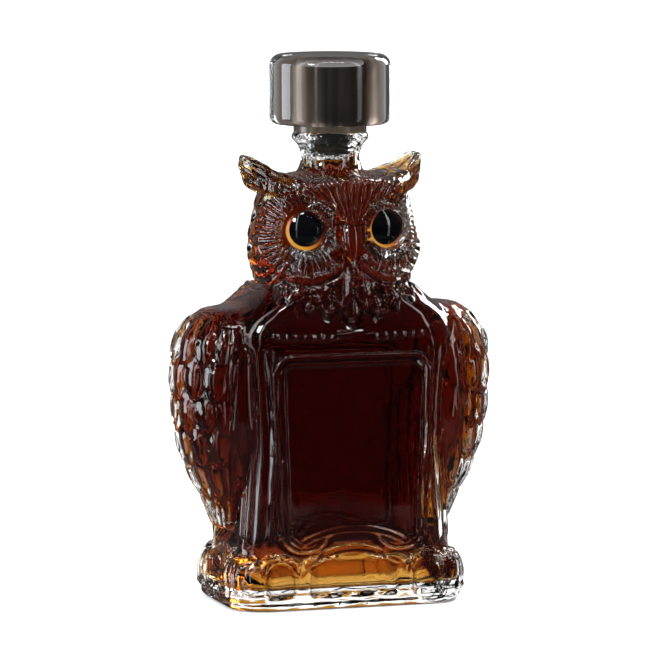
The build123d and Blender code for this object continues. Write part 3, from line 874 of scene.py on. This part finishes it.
def dress_walls(flask, outer, wet):
    """Gives the skin its glass and the soaked wall its own material, and thins the inner wall out."""
    take(flask)
    select_none("FACE")
    loops, starts, _ = corners_of(flask)
    flask.data.polygons.foreach_set("select", np.add.reduceat(outer[loops], starts) == 0)
    dress(flask, flask_glass())
    flask.data.materials.append(wetted_wall())
    soaked = np.minimum.reduceat(wet[loops], starts)
    flask.data.polygons.foreach_set("material_index", soaked.astype(np.int32))
    bpy.ops.object.mode_set(mode="EDIT")
    bpy.ops.mesh.decimate(ratio=INNER_SHARE)
    bpy.ops.object.mode_set(mode="OBJECT")


class DECANTER_OT_flask(bpy.types.Operator):
    """Moulded glass flask, carved from the frame's plain form"""
    bl_idname = "decanter.flask"
    bl_label = "Glass flask"

    def execute(self, context):
        size = context.scene.decanter_glass
        flask = copy_of_node("bottle", "flask_glass")
        flask.data.remesh_voxel_size = size.voxel
        flask.data.use_remesh_preserve_volume = False
        bpy.ops.object.voxel_remesh()
        say(f"skin {len(flask.data.vertices)}")
        wet = near_liquor(flask)
        outer = 1.0 - wet
        p = points_of(flask)
        outer[(np.hypot(p[:, 0], p[:, 1]) < NECK_BORE) & (p[:, 2] > NECK_FOOT)] = 0
        even_out(flask, outer)
        p, n = points_of(flask), normals_of(flask)
        free_eyes(flask, shape_wings(p, outer, size), outer)
        p = shape_faces(points_of(flask), outer)
        set_points(flask, raise_relief(p, n, outer))
        relax(flask, 1)
        relax(flask, INNER_ROUNDS, (1 - outer) * clear_of_ears(p))
        set_points(flask, draw_in_kick(points_of(flask), 1 - outer))
        dress_walls(flask, outer, wet)
        thin_out(flask, lambda q: ~face_part(q) & ~border_part(q), size.faces)
        soaked = np.zeros(len(flask.data.vertices))
        soaked[[v for f in flask.data.polygons if f.material_index == 1 for v in f.vertices]] = 1
        fill_ears(flask, soaked, -1, EAR_WALL)
        mark_groove_shade(flask)
        take(flask)
        bpy.ops.object.shade_smooth()
        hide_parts("bottle")
        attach(flask, "decanter")
        return {"FINISHED"}


class DECANTER_OT_liquor(bpy.types.Operator):
    """Liquor that wets the inside of the glass"""
    bl_idname = "decanter.liquor"
    bl_label = "Liquor"

    def execute(self, context):
        look = context.scene.decanter_liquor
        liquor = copy_of_node("liquor", "liquor_fill")
        liquor.data.remesh_voxel_size = look.grain
        bpy.ops.object.voxel_remesh()
        relax(liquor, LIQUOR_ROUNDS, clear_of_ears(points_of(liquor)))
        p, n = points_of(liquor), normals_of(liquor)
        swell = look.overlap * 1000 + SKIN_LAP
        p = draw_in_kick(lower_crown(p + n * swell), 1)
        p[:, 2] += look.rise * 1000 * ease(192.5, 194.5, p[:, 2]) * (np.hypot(p[:, 0], p[:, 1]) < 11)
        set_points(liquor, p)
        fill_ears(liquor, np.ones(len(p)), 1, EAR_WALL - swell)
        take(liquor)
        bpy.ops.object.shade_smooth()
        dress(liquor, amber_liquor())
        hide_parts("liquor")
        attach(liquor, "decanter")
        return {"FINISHED"}


class DECANTER_OT_eyes(bpy.types.Operator):
    """Finishes of the set eyes"""
    bl_idname = "decanter.eyes"
    bl_label = "Eyes"

    def execute(self, context):
        pupil = dark_finish("Pupil enamel", (0.004, 0.005, 0.009), 0.2, 300.0, 0.00005, 0.0)
        glass = clear_glass("Eye glass")
        for side, turn in (("left", -EYE_SPLAY), ("right", EYE_SPLAY)):
            dress(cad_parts[f"eye_pupil_{side}"], pupil)
            dress(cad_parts[f"eye_iris_{side}"], iris_enamel_painted_light(math.copysign(1, turn)))
            dome = copy_of_node(f"eye_dome_{side}", f"dome_glass_{side}")
            out = np.array([math.sin(turn), -math.cos(turn), 0])
            p = points_of(dome)
            depth = p @ out
            back = depth < depth.min() + 0.02
            set_points(dome, p - out * (SKIN_LAP * back)[:, None])
            take(dome)
            bpy.ops.object.shade_smooth_by_angle(angle=CREASE)
            dress(dome, glass)
            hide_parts(f"eye_dome_{side}")
            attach(dome, "decanter")
        return {"FINISHED"}


class DECANTER_OT_stopper(bpy.types.Operator):
    """Clear stopper head with its metal core, plug and rings"""
    bl_idname = "decanter.stopper"
    bl_label = "Stopper"

    def execute(self, context):
        low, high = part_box("stopper_head")
        bpy.ops.object.select_all(action="DESELECT")
        bpy.ops.mesh.primitive_cylinder_add(
            vertices=STOPPER_SIDES, radius=(high.x - low.x) / 2, depth=high.z - low.z,
            end_fill_type="NGON", location=(0, 0, (low.z + high.z) / 2))
        head = context.active_object
        head.name = "stopper_glass"
        bpy.ops.object.transform_apply(location=True, rotation=True, scale=True)
        for level, width in zip((high.z, low.z), STOPPER_EDGES):
            select_none("EDGE")
            for edge in head.data.edges:
                edge.select = all(abs(head.data.vertices[v].co.z - level) < 1e-6 for v in edge.vertices)
            bpy.ops.object.mode_set(mode="EDIT")
            bpy.ops.mesh.bevel(offset=width, segments=STOPPER_STEPS, profile=0.5, affect="EDGES")
            bpy.ops.object.mode_set(mode="OBJECT")
        core_low, core_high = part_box("stopper_core")
        select_none("FACE")
        floor = max((f for f in head.data.polygons if f.normal.z < -0.99), key=lambda f: f.area)
        floor.select = True
        rim = max(math.hypot(*head.data.vertices[v].co[:2]) for v in floor.vertices)
        bpy.ops.object.mode_set(mode="EDIT")
        bpy.ops.mesh.inset(thickness=rim - (core_high.x - CORE_LAP), depth=0)
        depth = core_high.z - core_low.z - CORE_LAP
        bpy.ops.mesh.extrude_region_move(TRANSFORM_OT_translate={"value": (0, 0, depth)})
        bpy.ops.object.mode_set(mode="OBJECT")
        bpy.ops.object.shade_smooth_by_angle(angle=CREASE)
        dress(head, clear_glass("Stopper glass"))
        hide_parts("stopper_head")
        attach(head, "stopper")
        dress(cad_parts["stopper_core"], core_metal())
        polymer = dark_finish("Plug polymer", (0.075, 0.055, 0.035), 0.22, 260.0, 0.0001)
        dress(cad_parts["stopper_plug"], polymer)
        rubber = dark_finish("Seal rubber", (0.03, 0.03, 0.03), 0.6, 500.0, 0.0001)
        dress(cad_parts["seal_rings"], rubber)
        return {"FINISHED"}


def soft_box(name, place, aim, width, height, power, colour=(1, 1, 1)):
    light = bpy.data.lights.new(name, "AREA")
    light.shape = "RECTANGLE"
    light.size, light.size_y = width, height
    light.energy = power
    light.color = colour
    obj = bpy.data.objects.new(name, light)
    obj.location = place
    obj.rotation_euler = (Vector(aim) - Vector(place)).to_track_quat("-Z", "Y").to_euler()
    bpy.context.scene.collection.objects.link(obj)


def lay_floor(view):
    """Pale paper, which the glass mirrors as if it were dark."""
    bpy.ops.object.select_all(action="DESELECT")
    bpy.ops.mesh.primitive_circle_add(vertices=96, radius=view.floor_radius, fill_type="NGON",
                                      location=(0, 0, -view.floor_drop))
    floor = bpy.context.active_object
    floor.name = "stage_floor"
    bpy.ops.object.transform_apply(location=True, rotation=True, scale=True)
    mat, nodes, links, shader = new_material("Stage paper")
    noise = object_noise(nodes, links, 12.0)
    paper = coloured(nodes, links, noise.outputs["Fac"], (0, (0.93, 0.93, 0.93)), (1, (0.96, 0.96, 0.96)))
    path = nodes.new("ShaderNodeLightPath")
    dim = blended(nodes, links, "RGBA", path.outputs["Is Reflection Ray"], paper, (0.03, 0.03, 0.03, 1))
    links.new(dim, shader.inputs["Base Color"])
    shader.inputs["Roughness"].default_value = 0.9
    dress(floor, mat)


def light_studio(turn):
    """World that the camera sees as plain white, with bands of light for the glass to show and mirror."""
    world = bpy.data.worlds.new("Studio")
    bpy.context.scene.world = world
    world.use_nodes = True
    nodes, links = world.node_tree.nodes, world.node_tree.links
    path = nodes.new("ShaderNodeLightPath")
    way = nodes.new("ShaderNodeTexCoord").outputs["Generated"]
    right = along_way(nodes, links, way, (math.cos(turn), -math.sin(turn), 0))
    ahead = along_way(nodes, links, way, (-math.sin(turn), -math.cos(turn), 0))
    bearing = worked_out(nodes, links, "ARCTAN2", right, ahead)
    walls = nodes.new("ShaderNodeValToRGB")
    stops = walls.color_ramp.elements
    stops[0].color = stops[1].color = (*BACK_WALL, 0, 1)
    for side, low, high, soft, through_level, mirror_level in STUDIO_WALLS:
        lit, unlit = (through_level, mirror_level, 0, 1), (DARK_STUDIO, DARK_STUDIO, 0, 1)
        for degrees, colour in ((low - soft, unlit), (low, lit), (high, lit), (high + soft, unlit)):
            if degrees < BACK_DEGREES:
                stops.new(0.5 + side * degrees / 360).color = colour
    links.new(rescaled(nodes, links, bearing, -math.pi, math.pi), walls.inputs["Fac"])
    levels = nodes.new("ShaderNodeSeparateColor")
    links.new(walls.outputs["Color"], levels.inputs["Color"])
    split = nodes.new("ShaderNodeSeparateXYZ")
    links.new(way, split.inputs["Vector"])
    height = split.outputs["Z"]
    fade = rescaled(nodes, links, height, 0.38, 0.70, 25.0, 1.0, "SMOOTHSTEP")
    seen = worked_out(nodes, links, "MULTIPLY", fade, levels.outputs["Red"])
    lift = rescaled(nodes, links, height, -0.06, 0.22, 0.3, 1.0)
    top = rescaled(nodes, links, height, 0.72, 0.95, 25.0, 3.0)
    mirrored = worked_out(nodes, links, "MULTIPLY", lift, top)
    mirrored = worked_out(nodes, links, "MULTIPLY", mirrored, levels.outputs["Green"])
    both = blended(nodes, links, "FLOAT", path.outputs["Is Reflection Ray"], seen, mirrored)
    plain = worked_out(nodes, links, "MAXIMUM", path.outputs["Is Camera Ray"], path.outputs["Is Diffuse Ray"])
    strength = blended(nodes, links, "FLOAT", plain, both, WHITE_LEVEL)
    links.new(strength, nodes["Background"].inputs["Strength"])
    nodes["Background"].inputs["Color"].default_value = (1, 1, 1, 1)


def place_camera(view):
    camera = bpy.data.cameras.new("Camera")
    camera.lens = view.lens
    camera.sensor_width = 36
    camera.clip_end = 50
    holder = bpy.data.objects.new("Camera", camera)
    holder.location = (-view.distance * math.sin(view.azimuth), -view.distance * math.cos(view.azimuth),
                       view.height)
    sight = Vector((0, 0, view.aim)) - holder.location
    holder.rotation_euler = sight.to_track_quat("-Z", "Y").to_euler()
    bpy.context.scene.collection.objects.link(holder)
    bpy.context.scene.camera = holder


class DECANTER_OT_stage(bpy.types.Operator):
    """Pale floor, soft studio light and the camera"""
    bl_idname = "decanter.stage"
    bl_label = "Stage"

    def execute(self, context):
        view = context.scene.decanter_stage
        lay_floor(view)
        light_studio(view.azimuth)
        middle = (0, 0, 0.13)
        soft_box("Left window", (-1.35, 0.50, 0.3), middle, 0.6, 0.9, 12, (0.88, 0.95, 1.0))
        soft_box("Right window", (1.15, 0.75, 0.75), middle, 0.4, 0.9, 20)
        soft_box("Left key", (-1.15, -0.75, 1.05), middle, 0.3, 0.3, 12, (0.92, 0.96, 1.0))
        soft_box("Top panel", (-0.1, -0.7, 1.5), middle, 0.9, 0.10, 7)
        place_camera(view)
        context.scene.view_settings.view_transform = "Standard"
        return {"FINISHED"}


class DECANTER_PT_sidebar(bpy.types.Panel):
    """Lists the pieces of the decanter"""
    bl_idname = "DECANTER_PT_sidebar"
    bl_label = "Owl decanter"
    bl_space_type = "VIEW_3D"
    bl_region_type = "UI"
    bl_category = "Decanter"

    def draw(self, context):
        layout = self.layout
        for operator in (DECANTER_OT_flask, DECANTER_OT_liquor, DECANTER_OT_eyes, DECANTER_OT_stopper,
                         DECANTER_OT_stage):
            layout.operator(operator.bl_idname)


CLASSES = (DecanterGlass, DecanterLiquor, DecanterStage, DECANTER_OT_flask, DECANTER_OT_liquor,
           DECANTER_OT_eyes, DECANTER_OT_stopper, DECANTER_OT_stage, DECANTER_PT_sidebar)


def register():
    for cls in CLASSES:
        bpy.utils.register_class(cls)
    bpy.types.Scene.decanter_glass = bpy.props.PointerProperty(type=DecanterGlass)
    bpy.types.Scene.decanter_liquor = bpy.props.PointerProperty(type=DecanterLiquor)
    bpy.types.Scene.decanter_stage = bpy.props.PointerProperty(type=DecanterStage)


def unregister():
    del bpy.types.Scene.decanter_glass
    del bpy.types.Scene.decanter_liquor
    del bpy.types.Scene.decanter_stage
    for cls in reversed(CLASSES):
        bpy.utils.unregister_class(cls)


def main():
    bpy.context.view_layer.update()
    register()
    bpy.ops.decanter.flask()
    bpy.ops.decanter.liquor()
    bpy.ops.decanter.eyes()
    bpy.ops.decanter.stopper()
    bpy.ops.decanter.stage()


if __name__ == "__main__":
    main()
